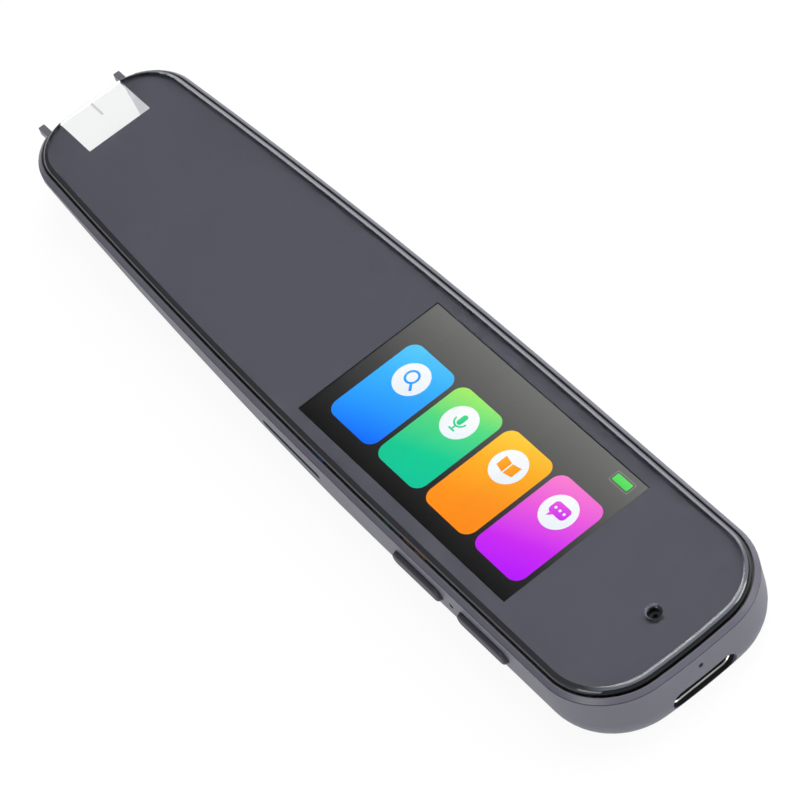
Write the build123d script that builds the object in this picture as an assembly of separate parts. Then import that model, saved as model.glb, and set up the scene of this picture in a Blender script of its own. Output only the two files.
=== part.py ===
from build123d import *
import math
import os

# Casing outline, seen from the glass side: the port end is at low Y, the scanning tip at high Y
body_length = 132.6
body_width = 30.5
body_height = 10.8
port_crown_radius = 99.3
port_corner_radius = 10.0
tip_flat_half_width = 6.8
side_bow_radius = 1300.0
bow_start_from_port = 38.15

# Casing section: insets are measured inwards from the outline
shell_wall = 1.3
underside_radius = 4.7
band_flat = 0.5
band_overlap = 0.2
lip_thickness = 0.3
lip_height = 0.6
parting_gap = 0.12

# Sides of the tip half: below a line that climbs towards the tip they lean inwards
side_lean = 0.26
lean_start_from_port = 54.3
lean_start_height = 4.1
lean_end_height = 8.9

# Glass and what it lies on
glass_thickness = 1.1
glass_inset = 1.02
glass_edge_width = 0.9
glass_edge_drop = 0.6
print_inset = 1.16
print_thickness = 0.05
glue_thickness = 0.1
glue_inset = 1.46
glue_width = 1.6
surround_thickness = 0.3
surround_gap = 0.05

# Front bezel
bezel_gap = 0.05
bezel_ledge_thickness = 0.55
bezel_ledge_inset = 3.46
rim_width = 0.55
rim_crest_width = 0.15
rim_height = 0.7
skirt_gap = 0.25
skirt_thickness = 0.8
skirt_height = 0.95
hook_length = 4.0
hook_height = 0.4
hook_drop = 0.5
hook_depth = 0.3
hook_gap = 0.1
hook_place_shares = (0.12, 0.40, 0.62, 0.82)

# Display, under the glass
display_side_border = 3.9
active_length = 42.7
display_place_share = 0.3314
display_window_gap = 0.1
panel_side_margin = 1.55
panel_port_margin = 1.45
panel_tip_margin = 5.55
panel_thickness = 0.7
panel_edge_gap = 0.1
backlight_thickness = 0.75
backlight_margin = 0.4

# Scanning mouth, its clear window and the hood behind it
mouth_half_width = 7.6
mouth_slope = 2.75
window_half_width = 5.2
window_length = 7.0
hood_length = 18.5
hood_wall = 0.6
rail_width = 1.3
rail_height = 0.45
rail_start = 1.0
rail_end_gap = 3.5
aiming_mark_length = 3.0
aiming_mark_width = 0.35

# Press-to-scan nib and the switch that it closes
foot_width = 1.0
foot_height = 1.2
foot_centre_x = 6.55
foot_z = 7.1
foot_reach = 3.4
foot_end_radius = 0.45
nib_travel = 0.8
slide_gap = 0.1
nib_bar_length = 1.6
nib_bar_height = 1.2
nib_bar_lift = 0.2
nib_switch_width = 4.6
nib_switch_length = 3.4
nib_switch_height = 1.5
nib_plunger_radius = 0.5
nib_plunger_reach = 1.3
nib_plunger_depth = 1.0

# Side buttons and the switches behind them
button_length = 9.6
button_height = 2.0
button_proud = 0.65
button_edge_radius = 0.35
button_z = 6.2
button_gap = 0.1
button_spacing = 13.2
lower_button_place_share = 0.1731
button_travel = 0.3
flange_thickness = 0.6
flange_margin = 0.7
flange_rim = 0.4
flange_gap = 0.2
button_seat_gap = 0.05
button_post_width = 3.0
button_post_height = 1.4
switch_inset = 3.26
switch_depth = 3.2
switch_width = 4.4
switch_height = 1.6
plunger_width = 1.6
plunger_height = 0.8
plunger_reach = 0.9
plunger_depth = 1.4
plunger_gap = 0.1

# Charging port, pinholes and charge light
port_opening_width = 9.8
port_opening_height = 3.2
port_z = 3.9
port_body_width = 8.94
port_body_height = 3.26
port_body_length = 7.35
port_body_recess = 1.9
port_pocket_gap = 0.15
port_riser_height = 1.0
port_shell_thickness = 0.3
port_back_wall = 0.8
tongue_width = 6.7
tongue_thickness = 0.7
tongue_recess = 1.3
pinhole_radius = 0.35
pinhole_z = 7.6
light_pipe_radius = 0.4
light_pipe_length = 2.6
light_pipe_recess = 0.15
light_pipe_gap = 0.025
light_width = 1.6
light_height = 0.6

# Boards, bosses and screws
board_thickness = 0.8
board_inset = 2.9
board_end_gap = 0.5
boss_radius = 1.7
boss_hole_radius = 0.72
boss_hole_depth = 3.0
boss_edge_gap = 1.7
boss_from_board_end = 7.5
boss_from_board_front = 3.4
board_hole_gap = 0.1
screw_radius = 0.7
screw_length = 2.6
screw_head_radius = 1.25
screw_head_height = 0.6
driver_slot_width = 0.35
driver_slot_depth = 0.25

# Chips on the main board: the shares are of the board's length, from its front edge
processor_size = 10.0
processor_height = 1.1
processor_from_side = 2.9
processor_place_share = 0.352
memory_width = 8.0
memory_length = 9.0
memory_place_share = 0.574
power_size = 5.0
power_x = -3.0
power_place_share = 0.759
chip_height = 0.9
shield_height = 1.6
shield_sheet = 0.2
shield_from_side = 2.6
shield_from_processor = 0.7
shield_from_switch = 0.9
shield_from_boss = 1.0
antenna_width = 5.0
antenna_length = 2.0
antenna_from_side = 2.5
antenna_from_end = 3.6

# Ribbons and the sockets that they push into
flex_thickness = 0.1
flex_fold_radius = 0.2
flex_tail_length = 3.0
display_flex_from_screw = 1.15
flex_spacing = 3.0
camera_flex_width = 5.0
camera_flex_from_boss = 4.9
camera_flex_shift = 3.6
camera_flex_shift_from_panel = 5.0
socket_depth = 2.6
socket_height = 0.6
socket_margin = 0.8
socket_from_edge = 1.2

# Microphones
microphone_from_port = 7.85
glass_hole_radius = 0.75
glass_hole_bevel = 0.35
capsule_width = 3.8
capsule_length = 3.0
capsule_height = 1.0
boot_wall = 0.4
boot_bore_radius = 0.4
boot_gap = 0.1

# Battery
battery_side_gap = 2.8
battery_top_gap = 0.5
battery_edge_radius = 1.2
battery_pad_thickness = 0.2
battery_seal_length = 1.2
battery_seal_thickness = 0.8
battery_board_thickness = 1.0
battery_board_width = 9.0
battery_board_height = 3.8
battery_board_from_boss = 5.9
battery_plug_width = 4.6
battery_plug_length = 3.2
battery_plug_height = 1.7
lead_radius = 0.4
lead_spacing = 1.5
lead_board_gap = 0.1

# Speaker behind the slot in the side
speaker_slot_length = 12.9
speaker_slot_height = 1.0
speaker_place_share = 0.4807
speaker_z = 6.5
speaker_wall = 1.0
speaker_box_length = 13.8
speaker_from_leads = 5.04
speaker_box_wall = 1.0
speaker_top_gap = 0.35
speaker_driver_gap = 0.05
speaker_driver_depth = 0.7
speaker_cone_margin = 3.2
speaker_nozzle_height = 1.8
speaker_nozzle_gap = 0.1
speaker_seat_gap = 0.25
speaker_mesh_thickness = 0.2
speaker_duct_height = 0.9

# Tip board, camera and lamps
board_edge_inset = 3.1
tip_board_neck_half_width = 5.3
tip_board_neck_length = 6.3
tip_board_length = 12.9
tip_board_gap = 2.7
camera_board_thickness = 0.8
camera_board_width = 8.0
camera_board_drop = 4.8
lens_z = 4.1
holder_width = 7.0
holder_height = 4.4
holder_length = 4.0
holder_gap = 0.5
sensor_gap = 0.1
barrel_radius = 1.9
barrel_bore_radius = 1.3
barrel_length = 4.4
barrel_gap = 0.15
lens_disc_thickness = 0.7
lens_seat_gap = 0.02
sensor_width = 4.6
sensor_height = 3.4
sensor_thickness = 0.8
lamp_board_thickness = 0.8
lamp_board_gap = 0.1
lamp_width = 1.6
lamp_height = 1.2
lamp_depth = 0.7
lamp_x = 3.7
lamp_gap = 0.1

# How far a cutting shape runs past what it cuts
overrun = 1.0

# Heights, from the glass down
glass_bottom = body_height - glass_thickness
print_bottom = glass_bottom - print_thickness
glue_bottom = print_bottom - glue_thickness
bezel_seat = glue_bottom - surround_thickness
shell_land = bezel_seat - bezel_ledge_thickness
shell_lip_top = shell_land + lip_height
rim_top = bezel_seat + rim_height
skirt_bottom = shell_land - skirt_height
hook_low = shell_land - hook_drop - hook_height
panel_bottom = glue_bottom - panel_thickness
backlight_bottom = panel_bottom - backlight_thickness
port_body_top = port_z + port_body_height / 2
board_bottom = port_body_top + port_riser_height
board_top = board_bottom + board_thickness
battery_top = board_bottom - battery_top_gap
speaker_top = board_top - speaker_top_gap
speaker_nozzle_low = speaker_z - speaker_nozzle_height / 2
lead_z = board_bottom - lead_board_gap - lead_radius
switch_plunger_z = board_bottom - switch_height / 2
nib_plunger_z = board_top + nib_switch_height / 2

# Insets of the casing's and the bezel's steps
band_reach = underside_radius + band_flat
rim_inner_inset = rim_width + rim_crest_width
skirt_outer_inset = shell_wall + skirt_gap
skirt_inner_inset = skirt_outer_inset + skirt_thickness
hook_inset = shell_wall - skirt_gap - hook_depth + hook_gap
recess_inset = hook_inset - hook_gap
recess_inner_inset = shell_wall + hook_depth

# Places along the pen
port_y = -body_length / 2
tip_y = body_length / 2
bow_start_y = port_y + bow_start_from_port
lean_start_y = port_y + lean_start_from_port
display_y = port_y + body_length * display_place_share
panel_low_y = display_y - active_length / 2 - panel_port_margin
panel_high_y = display_y + active_length / 2 + panel_tip_margin
lower_button_y = port_y + body_length * lower_button_place_share
upper_button_y = lower_button_y + button_spacing
button_places = {"lower": lower_button_y, "upper": upper_button_y}
light_y = (lower_button_y + upper_button_y) / 2
microphone_y = port_y + microphone_from_port
speaker_y = port_y + body_length * speaker_place_share
speaker_front_y = speaker_y + speaker_box_length / 2
speaker_back_y = speaker_y - speaker_box_length / 2
mouth_top_y = tip_y - glass_inset - glass_edge_width
window_base_y = mouth_top_y - window_length
hood_back_y = mouth_top_y - hood_length
port_front_y = port_y + port_body_recess
port_back_y = port_front_y + port_body_length
board_end_y = port_y + board_inset
board_front_y = speaker_back_y - board_end_gap
shield_low_y = upper_button_y + switch_width / 2 + shield_from_switch
shield_high_y = board_front_y - boss_from_board_front - boss_radius - shield_from_boss
shield_length = shield_high_y - shield_low_y
end_capsule_y = board_end_y + capsule_length / 2
socket_y = board_front_y - socket_from_edge - socket_depth / 2
tip_board_front_y = hood_back_y - tip_board_gap
tip_board_back_y = tip_board_front_y - tip_board_length
tip_board_neck_y = tip_board_front_y - tip_board_neck_length
battery_back_y = speaker_front_y + board_end_gap + battery_board_thickness
battery_front_y = tip_board_back_y - board_end_gap
lamp_board_back_y = hood_back_y - lamp_board_thickness
barrel_front_y = hood_back_y + hood_wall / 2
barrel_back_y = barrel_front_y - barrel_length
holder_front_y = lamp_board_back_y - holder_gap
holder_back_y = holder_front_y - holder_length
nib_bar_front_y = hood_back_y - slide_gap
nib_bar_back_y = nib_bar_front_y - nib_bar_length
nib_switch_front_y = nib_bar_back_y - nib_plunger_reach

# Places across the pen
half_width = body_width / 2
tip_corner_radius = half_width - tip_flat_half_width
wall_inner_x = half_width - shell_wall
flange_outer_x = wall_inner_x - button_seat_gap
flange_inner_x = flange_outer_x - flange_thickness
flange_length = button_length + flange_margin * 2
flange_height = button_height + flange_rim * 2
switch_front_x = half_width - switch_inset
plunger_tip_x = switch_front_x + plunger_reach
active_width = body_width - display_side_border * 2
panel_width = active_width + panel_side_margin * 2
board_side_x = half_width - board_inset
boss_x = board_side_x - boss_edge_gap
processor_x = board_side_x - processor_from_side - processor_size / 2
shield_outer_x = shield_from_side - board_side_x
shield_inner_x = processor_x - processor_size / 2 - shield_from_processor
shield_width = shield_inner_x - shield_outer_x
shield_x = (shield_outer_x + shield_inner_x) / 2
antenna_x = board_side_x - antenna_from_side - antenna_width / 2
battery_board_x = boss_x - battery_board_from_boss
camera_flex_x = boss_x - camera_flex_from_boss
display_flex_outer_x = screw_head_radius + display_flex_from_screw - boss_x
display_flex_inner_x = camera_flex_x - camera_flex_width / 2 - flex_spacing
display_flex_width = display_flex_inner_x - display_flex_outer_x
display_flex_x = (display_flex_outer_x + display_flex_inner_x) / 2
board_boss_places = [
    (side * boss_x, y)
    for side in (-1, 1)
    for y in (board_end_y + boss_from_board_end, board_front_y - boss_from_board_front)
]


def arc_about(centre, start, end):
    """The short arc round a centre, from one point to another."""
    towards = ((start + end) / 2 - centre).normalized()
    return ThreePointArc(start, centre + towards * (start - centre).length, end)


def half_outline(inset):
    """The +X half of the casing's outline, from the port end's middle to the tip's middle."""
    crown = Vector(0, port_y + port_crown_radius)
    corner_x = half_width - port_corner_radius
    crown_reach = port_crown_radius - port_corner_radius
    corner = Vector(corner_x, crown.Y - math.sqrt(crown_reach ** 2 - corner_x ** 2))
    bow = Vector(half_width - side_bow_radius, bow_start_y)
    tip_corner_y = tip_y - tip_corner_radius
    bow_reach = side_bow_radius - tip_corner_radius
    tip_corner = Vector(bow.X + math.sqrt(bow_reach ** 2 - (tip_corner_y - bow.Y) ** 2), tip_corner_y)
    port_middle = Vector(0, port_y + inset)
    corner_start = crown + (corner - crown).normalized() * (port_crown_radius - inset)
    side_start = Vector(half_width - inset, corner.Y)
    bow_start = Vector(half_width - inset, bow.Y)
    bow_end = bow + (tip_corner - bow).normalized() * (side_bow_radius - inset)
    tip_start = Vector(tip_corner.X, tip_y - inset)
    tip_middle = Vector(0, tip_y - inset)
    return [
        arc_about(crown, port_middle, corner_start),
        arc_about(corner, corner_start, side_start),
        Line(side_start, bow_start),
        arc_about(bow, bow_start, bow_end),
        arc_about(tip_corner, bow_end, tip_start),
        Line(tip_start, tip_middle),
    ]


def side_at(y, inset):
    """How far the casing's side is from the middle line, towards the tip of the bow's start."""
    beyond = max(y - bow_start_y, 0)
    return half_width - side_bow_radius + math.sqrt((side_bow_radius - inset) ** 2 - beyond ** 2)


def plate(inset, low, high):
    """A flat slice of the casing's outline between two heights."""
    half = half_outline(inset)
    other = [edge.mirror(Plane.YZ) for edge in half]
    face = make_face(Wire(half + other))
    return extrude(Pos(0, 0, low) * face, amount=high - low)


def ring(outer_inset, inner_inset, low, high):
    """A flat ring that follows the outline."""
    return plate(outer_inset, low, high) - plate(inner_inset, low, high)


def band(*edges):
    """A section, drawn as inset and height, carried all round the outline."""
    start = Plane(origin=(0, port_y, 0), x_dir=(0, 1, 0), z_dir=(1, 0, 0))
    section = start * make_face(Wire(edges))
    half = sweep(section, path=Wire(half_outline(0)))
    return half + half.mirror(Plane.YZ)


def block(x0, x1, y0, y1, z0, z1):
    """A box between two corners."""
    return Pos((x0 + x1) / 2, (y0 + y1) / 2, (z0 + z1) / 2) * Box(x1 - x0, y1 - y0, z1 - z0)


def wide_block(half, y0, y1, z0, z1):
    """A box that lies evenly about the middle line."""
    return block(-half, half, y0, y1, z0, z1)


def slab(x, y, low, width, length, height):
    """A box that stands at a height, centred on a place."""
    return Pos(x, y, low + height / 2) * Box(width, length, height)


def under_board(x, y, width, length, height):
    """A block on the underside of the main board."""
    return slab(x, y, board_bottom - height, width, length, height)


def post(x, y, low, high, radius):
    """An upright cylinder."""
    return Pos(x, y, (low + high) / 2) * Cylinder(radius, high - low)


def rod_x(x0, x1, y, z, radius):
    """A cylinder along X."""
    return Pos((x0 + x1) / 2, y, z) * Rot(0, 90, 0) * Cylinder(radius, x1 - x0)


def rod_y(y0, y1, x, z, radius):
    """A cylinder along Y."""
    return Pos(x, (y0 + y1) / 2, z) * Rot(90, 0, 0) * Cylinder(radius, y1 - y0)


def pill_x(x0, x1, y, z, length, height):
    """A rounded bar along X whose long side lies along Y."""
    face = Plane(origin=(x0, y, z), x_dir=(0, 1, 0), z_dir=(1, 0, 0)) * SlotOverall(length, height)
    return extrude(face, amount=x1 - x0)


def pill_y(y0, y1, x, z, width, height):
    """A rounded bar along Y whose long side lies along X."""
    face = Plane(origin=(x, y0, z), x_dir=(1, 0, 0), z_dir=(0, 1, 0)) * SlotOverall(width, height)
    return extrude(face, amount=y1 - y0)


def tip_boss_places():
    """Where the tip board's two bosses stand, in its wide half."""
    x = side_at(tip_board_neck_y, board_edge_inset) - boss_edge_gap
    y = (tip_board_back_y + tip_board_neck_y) / 2
    return [(side * x, y) for side in (-1, 1)]


def hook_boxes(extra):
    """Boxes that pick the snap hooks' stretches out of a ring."""
    boxes = Part()
    for share in hook_place_shares:
        y = port_y + body_length * share
        boxes += slab(0, y, 0, body_width, hook_length + extra * 2, body_height)
    return boxes


def mouth_cut(half_span):
    """The space in front of the scanning mouth, whose face leans back towards the underside."""
    low = -overrun
    high = body_height + overrun
    reach = tip_y + foot_reach
    low_y = mouth_top_y - (glass_bottom - low) / mouth_slope
    high_y = mouth_top_y + (high - glass_bottom) / mouth_slope
    corners = [Vector(0, low_y, low), Vector(0, reach, low), Vector(0, reach, high), Vector(0, high_y, high)]
    face = make_face(Polyline(*corners, close=True))
    return extrude(face, amount=half_span, dir=(1, 0, 0), both=True)


def window_cut(half_span):
    """The stretch of the tip that the clear window leaves open."""
    return wide_block(half_span, window_base_y, tip_y + overrun, 0, body_height + overrun)


def side_lean_space(depth, top):
    """The space outside the leaning sides of the tip half, or outside a surface that deep under them."""
    outer_x = body_width
    end_y = tip_y + overrun
    climb = (lean_end_height - lean_start_height) / (tip_y - lean_start_y)
    faces = []
    for z in (-overrun, top):
        near, middle, far = [
            Vector(side_at(y, depth + side_lean * (lean_start_height + climb * (y - lean_start_y) - z)), y, z)
            for y in (lean_start_y, (lean_start_y + end_y) / 2, end_y)
        ]
        outer_far = Vector(outer_x, end_y, z)
        outer_near = Vector(outer_x, lean_start_y, z)
        faces.append(make_face([
            ThreePointArc(near, middle, far),
            Line(far, outer_far),
            Line(outer_far, outer_near),
            Line(outer_near, near),
        ]))
    half = loft(faces, ruled=True)
    return half + half.mirror(Plane.YZ)


def shell_tub():
    """The shell's walls and floor, before its openings are cut."""
    wall = shell_wall
    under = underside_radius
    corner = Vector(under, under)
    outer_low = Vector(under, 0)
    outer_side = Vector(0, under)
    lip = Vector(0, shell_lip_top)
    lip_inner = Vector(lip_thickness, shell_lip_top)
    land_outer = Vector(lip_thickness, shell_land)
    land_inner = Vector(wall, shell_land)
    inner_side = Vector(wall, under)
    inner_low = Vector(under, wall)
    sides = band(
        Line((band_reach, 0), outer_low),
        arc_about(corner, outer_low, outer_side),
        Line(outer_side, lip),
        Line(lip, lip_inner),
        Line(lip_inner, land_outer),
        Line(land_outer, land_inner),
        Line(land_inner, inner_side),
        arc_about(corner, inner_side, inner_low),
        Line(inner_low, (band_reach, wall)),
        Line((band_reach, wall), (band_reach, 0)),
    )
    filled_sides = band(
        Line((band_reach, 0), outer_low),
        arc_about(corner, outer_low, outer_side),
        Line(outer_side, (0, shell_land)),
        Line((0, shell_land), (band_reach, shell_land)),
        Line((band_reach, shell_land), (band_reach, 0)),
    )
    tub = sides + plate(band_reach - band_overlap, 0, wall)
    tub += filled_sides & side_lean_space(wall, shell_land)
    return tub - side_lean_space(0, shell_lip_top)


def port_end_openings():
    """The charging port's opening, the pocket for its sleeve and the second microphone's pinhole."""
    outside = port_y - overrun
    inside = port_y + shell_wall + overrun
    port = pill_y(outside, inside, 0, port_z, port_opening_width, port_opening_height)
    pocket_width = port_body_width + port_pocket_gap * 2
    pocket_height = port_body_height + port_pocket_gap * 2
    pocket_front = port_front_y - port_pocket_gap
    port += pill_y(pocket_front, inside + overrun, 0, port_z, pocket_width, pocket_height)
    return port + rod_y(outside, inside, 0, pinhole_z, pinhole_radius)


def side_openings():
    """The button holes, the flanges' pockets behind them and the hole for the light pipe."""
    outside = -half_width - overrun
    inside = -wall_inner_x + overrun
    cut = rod_x(outside, inside, light_y, button_z, light_pipe_radius + light_pipe_gap)
    hole_length = button_length + button_gap * 2
    hole_height = button_height + button_gap * 2
    pocket_length = flange_length + flange_gap * 2
    pocket_height = flange_height + flange_gap * 2
    for y in button_places.values():
        cut += pill_x(outside, inside, y, button_z, hole_length, hole_height)
        cut += pill_x(-wall_inner_x, -wall_inner_x + shell_wall, y, button_z, pocket_length, pocket_height)
    return cut


def speaker_openings():
    """The long slot in the side and the flat seat behind it for the mesh and the nozzle."""
    seat_x = side_at(speaker_front_y, 0) - speaker_wall
    outside = -half_width - overrun
    cut = pill_x(outside, -seat_x + overrun, speaker_y, speaker_z,
                 speaker_slot_length, speaker_slot_height)
    back = speaker_back_y - speaker_seat_gap
    front = speaker_front_y + speaker_seat_gap
    low = speaker_nozzle_low - speaker_nozzle_gap
    high = speaker_nozzle_low + speaker_nozzle_height + speaker_nozzle_gap
    return cut + block(-seat_x, -seat_x + shell_wall, back, front, low, high)


def back_shell():
    """The tub that forms the sides and the back, with its bosses and its openings."""
    shell = shell_tub()
    for x, y in board_boss_places + tip_boss_places():
        shell += post(x, y, shell_wall / 2, board_bottom, boss_radius)
    for x, y in board_boss_places + tip_boss_places():
        shell -= post(x, y, board_bottom - boss_hole_depth, board_bottom, boss_hole_radius)
    shell -= port_end_openings() + side_openings() + speaker_openings()
    recess = ring(recess_inset, recess_inner_inset, hook_low - hook_gap, hook_low + hook_height + hook_gap)
    shell -= recess & hook_boxes(hook_gap)
    return shell - mouth_cut(mouth_half_width)


def front_bezel():
    """The ring that closes the shell round the glass, with its rim, its seat and its snap hooks."""
    seat_outer = lip_thickness + bezel_gap
    foot = shell_lip_top + parting_gap
    points = [
        (bezel_gap, foot),
        (rim_width, rim_top),
        (rim_inner_inset, rim_top),
        (rim_inner_inset, bezel_seat),
        (bezel_ledge_inset, bezel_seat),
        (bezel_ledge_inset, shell_land),
        (skirt_inner_inset, shell_land),
        (skirt_inner_inset, skirt_bottom),
        (skirt_outer_inset, skirt_bottom),
        (skirt_outer_inset, shell_land),
        (seat_outer, shell_land),
        (seat_outer, foot),
    ]
    frame = band(*Polyline(*points, close=True).edges())
    hooks = ring(hook_inset, skirt_inner_inset, hook_low, hook_low + hook_height)
    frame += hooks & hook_boxes(0)
    notch_half = capsule_width / 2 + boot_gap
    frame -= wide_block(notch_half, port_y, end_capsule_y, skirt_bottom, shell_land)
    return frame - mouth_cut(mouth_half_width) - window_cut(mouth_half_width)


def glass_surround():
    """The glossy black seat that shows as a dark line round the glass."""
    seat = ring(rim_inner_inset + surround_gap, bezel_ledge_inset, bezel_seat, glue_bottom)
    return seat - window_cut(mouth_half_width)


def glass_adhesive():
    """The strip of adhesive under the edge of the glass."""
    strip = ring(glue_inset, glue_inset + glue_width, glue_bottom, print_bottom)
    return strip - window_cut(mouth_half_width)


def cover_glass():
    """The one long glass, flat on top with a rolled edge, drilled over the microphone."""
    edge_low = Vector(glass_inset, body_height - glass_edge_drop)
    edge_high = Vector(glass_inset + glass_edge_width, body_height)
    roll_radius = (glass_edge_width ** 2 + glass_edge_drop ** 2) / (glass_edge_drop * 2)
    edge = band(
        Line((glass_inset, glass_bottom), edge_low),
        arc_about(edge_high - Vector(0, roll_radius), edge_low, edge_high),
        Line(edge_high, (band_reach, body_height)),
        Line((band_reach, body_height), (band_reach, glass_bottom)),
        Line((band_reach, glass_bottom), (glass_inset, glass_bottom)),
    )
    glass = edge + plate(band_reach - band_overlap, glass_bottom, body_height)
    glass -= post(0, microphone_y, glass_bottom - overrun, body_height + overrun, glass_hole_radius)
    bevel = Cone(glass_hole_radius, glass_hole_radius + glass_hole_bevel, glass_hole_bevel)
    return glass - Pos(0, microphone_y, body_height - glass_hole_bevel / 2) * bevel


def glass_print():
    """The dark ink behind the glass, left open over the display, the window and the microphone."""
    ink = plate(print_inset, print_bottom, glass_bottom)
    width = active_width + display_window_gap * 2
    length = active_length + display_window_gap * 2
    ink -= slab(0, display_y, print_bottom, width, length, glass_thickness)
    ink -= post(0, microphone_y, print_bottom - overrun, body_height, glass_hole_radius)
    return ink - window_cut(window_half_width)


def aiming_mark():
    """The short line printed in the middle of the clear window."""
    mark_y = mouth_top_y + aiming_mark_width - aiming_mark_length / 2
    return slab(0, mark_y, print_bottom, aiming_mark_width, aiming_mark_length, print_thickness)


def display_adhesive():
    """The clear adhesive that bonds the display to the glass and fills the print's window."""
    sheet = wide_block(panel_width / 2, panel_low_y, panel_high_y, glue_bottom, print_bottom)
    sheet -= ring(0, glue_inset + glue_width + panel_edge_gap, glue_bottom, print_bottom)
    return sheet + slab(0, display_y, print_bottom, active_width, active_length, print_thickness)


def lcd_panel():
    """The display's two glass sheets."""
    sheets = wide_block(panel_width / 2, panel_low_y, panel_high_y, panel_bottom, glue_bottom)
    return sheets - ring(0, bezel_ledge_inset + panel_edge_gap, panel_bottom, glue_bottom)


def backlight_unit():
    """The lit tray under the panel."""
    half = panel_width / 2 - backlight_margin
    low_y = panel_low_y + backlight_margin
    high_y = panel_high_y - backlight_margin
    tray = wide_block(half, low_y, high_y, backlight_bottom, panel_bottom)
    return tray - ring(0, bezel_ledge_inset + panel_edge_gap, backlight_bottom, panel_bottom)


def display_flex():
    """The ribbon that folds under the display and runs back to the main board."""
    fold_y = panel_high_y + flex_fold_radius
    tail_y = fold_y - flex_tail_length
    run_y = socket_y + socket_depth / 2
    outer = flex_fold_radius + flex_thickness
    fold_z = backlight_bottom - outer
    centre = Vector(0, fold_y, fold_z)
    upper_end = Vector(0, fold_y, backlight_bottom)
    outer_turn = Vector(0, fold_y + outer, fold_z)
    lower_outer = Vector(0, fold_y, fold_z - outer)
    lower_start = Vector(0, run_y, fold_z - outer)
    lower_inner_start = Vector(0, run_y, fold_z - flex_fold_radius)
    lower_inner = Vector(0, fold_y, fold_z - flex_fold_radius)
    inner_turn = Vector(0, fold_y + flex_fold_radius, fold_z)
    upper_inner = Vector(0, fold_y, backlight_bottom - flex_thickness)
    tail_low = Vector(0, tail_y, backlight_bottom - flex_thickness)
    tail_high = Vector(0, tail_y, backlight_bottom)
    section = Wire([
        Line(tail_high, upper_end),
        arc_about(centre, upper_end, outer_turn),
        arc_about(centre, outer_turn, lower_outer),
        Line(lower_outer, lower_start),
        Line(lower_start, lower_inner_start),
        Line(lower_inner_start, lower_inner),
        arc_about(centre, lower_inner, inner_turn),
        arc_about(centre, inner_turn, upper_inner),
        Line(upper_inner, tail_low),
        Line(tail_low, tail_high),
    ])
    ribbon = extrude(make_face(section), amount=display_flex_width / 2, dir=(1, 0, 0), both=True)
    return Pos(display_flex_x, 0, 0) * ribbon


def ribbon_connectors():
    """The sockets on the two boards that the ribbons push into."""
    display_width = display_flex_width + socket_margin
    camera_width = camera_flex_width + socket_margin
    tip_socket_x = camera_flex_x - camera_flex_shift
    tip_socket_y = tip_board_back_y + socket_depth / 2
    sockets = slab(display_flex_x, socket_y, board_top, display_width, socket_depth, socket_height)
    sockets += slab(camera_flex_x, socket_y, board_top, camera_width, socket_depth, socket_height)
    sockets += slab(tip_socket_x, tip_socket_y, board_top, camera_width, socket_depth, socket_height)
    return sockets


def camera_flex():
    """The ribbon that joins the two boards, over the battery, stepping sideways past the display."""
    start = socket_y + socket_depth / 2
    end = tip_board_back_y
    middle = panel_high_y + camera_flex_shift_from_panel
    half = camera_flex_width / 2
    near = camera_flex_x
    far = camera_flex_x - camera_flex_shift
    bend = camera_flex_shift / 2
    corners = [
        (near - half, start), (near + half, start), (near + half, middle - bend), (far + half, middle + bend),
        (far + half, end), (far - half, end), (far - half, middle + bend), (near - half, middle - bend),
    ]
    low = board_top + socket_height / 2
    return extrude(Pos(0, 0, low) * make_face(Polyline(*corners, close=True)), amount=flex_thickness)


def main_board():
    """The circuit board under the display, drilled for its four screws."""
    board = plate(board_inset, board_bottom, board_top)
    board &= wide_block(half_width, port_y, board_front_y, board_bottom, board_top)
    for x, y in board_boss_places:
        board -= post(x, y, board_bottom, board_top, screw_radius + board_hole_gap)
    return board


def along_board(share):
    """A place on the main board, from its front edge towards the port."""
    return board_front_y - (board_front_y - board_end_y) * share


def processor_chip():
    """The main chip, under the board."""
    y = along_board(processor_place_share)
    return under_board(processor_x, y, processor_size, processor_size, processor_height)


def memory_chip():
    """The storage chip, beside the main chip."""
    y = along_board(memory_place_share)
    return under_board(processor_x, y, memory_width, memory_length, chip_height)


def power_chip():
    """The charging and power chip."""
    y = along_board(power_place_share)
    return under_board(power_x, y, power_size, power_size, chip_height)


def wireless_shield():
    """The tin can over the radio, open towards the board."""
    y = (shield_low_y + shield_high_y) / 2
    can = under_board(shield_x, y, shield_width, shield_length, shield_height)
    inside_width = shield_width - shield_sheet * 2
    inside_length = shield_length - shield_sheet * 2
    return can - under_board(shield_x, y, inside_width, inside_length, shield_height - shield_sheet)


def antenna_chip():
    """The small ceramic aerial at the board's corner."""
    y = board_end_y + antenna_from_end
    return slab(antenna_x, y, board_top, antenna_width, antenna_length, chip_height)


def port_shell():
    """The steel sleeve of the charging port, closed at the back, with the riser up to the board."""
    sleeve = pill_y(port_front_y, port_back_y, 0, port_z, port_body_width, port_body_height)
    inside_width = port_body_width - port_shell_thickness * 2
    inside_height = port_body_height - port_shell_thickness * 2
    back = port_back_y - port_back_wall
    riser_low = port_body_top - port_shell_thickness / 2
    sleeve += wide_block(tongue_width / 2, port_front_y + tongue_recess, port_back_y, riser_low, board_bottom)
    return sleeve - pill_y(port_front_y - overrun, back, 0, port_z, inside_width, inside_height)


def port_tongue():
    """The contact tongue in the middle of the port."""
    back = port_back_y - port_back_wall
    front = port_front_y + tongue_recess
    low = port_z - tongue_thickness / 2
    tongue = wide_block(tongue_width / 2, front, back, low, low + tongue_thickness)
    front_edges = tongue.edges().filter_by(Axis.Z).sort_by(Axis.Y)[:2]
    return fillet(front_edges, radius=tongue_thickness)


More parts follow.
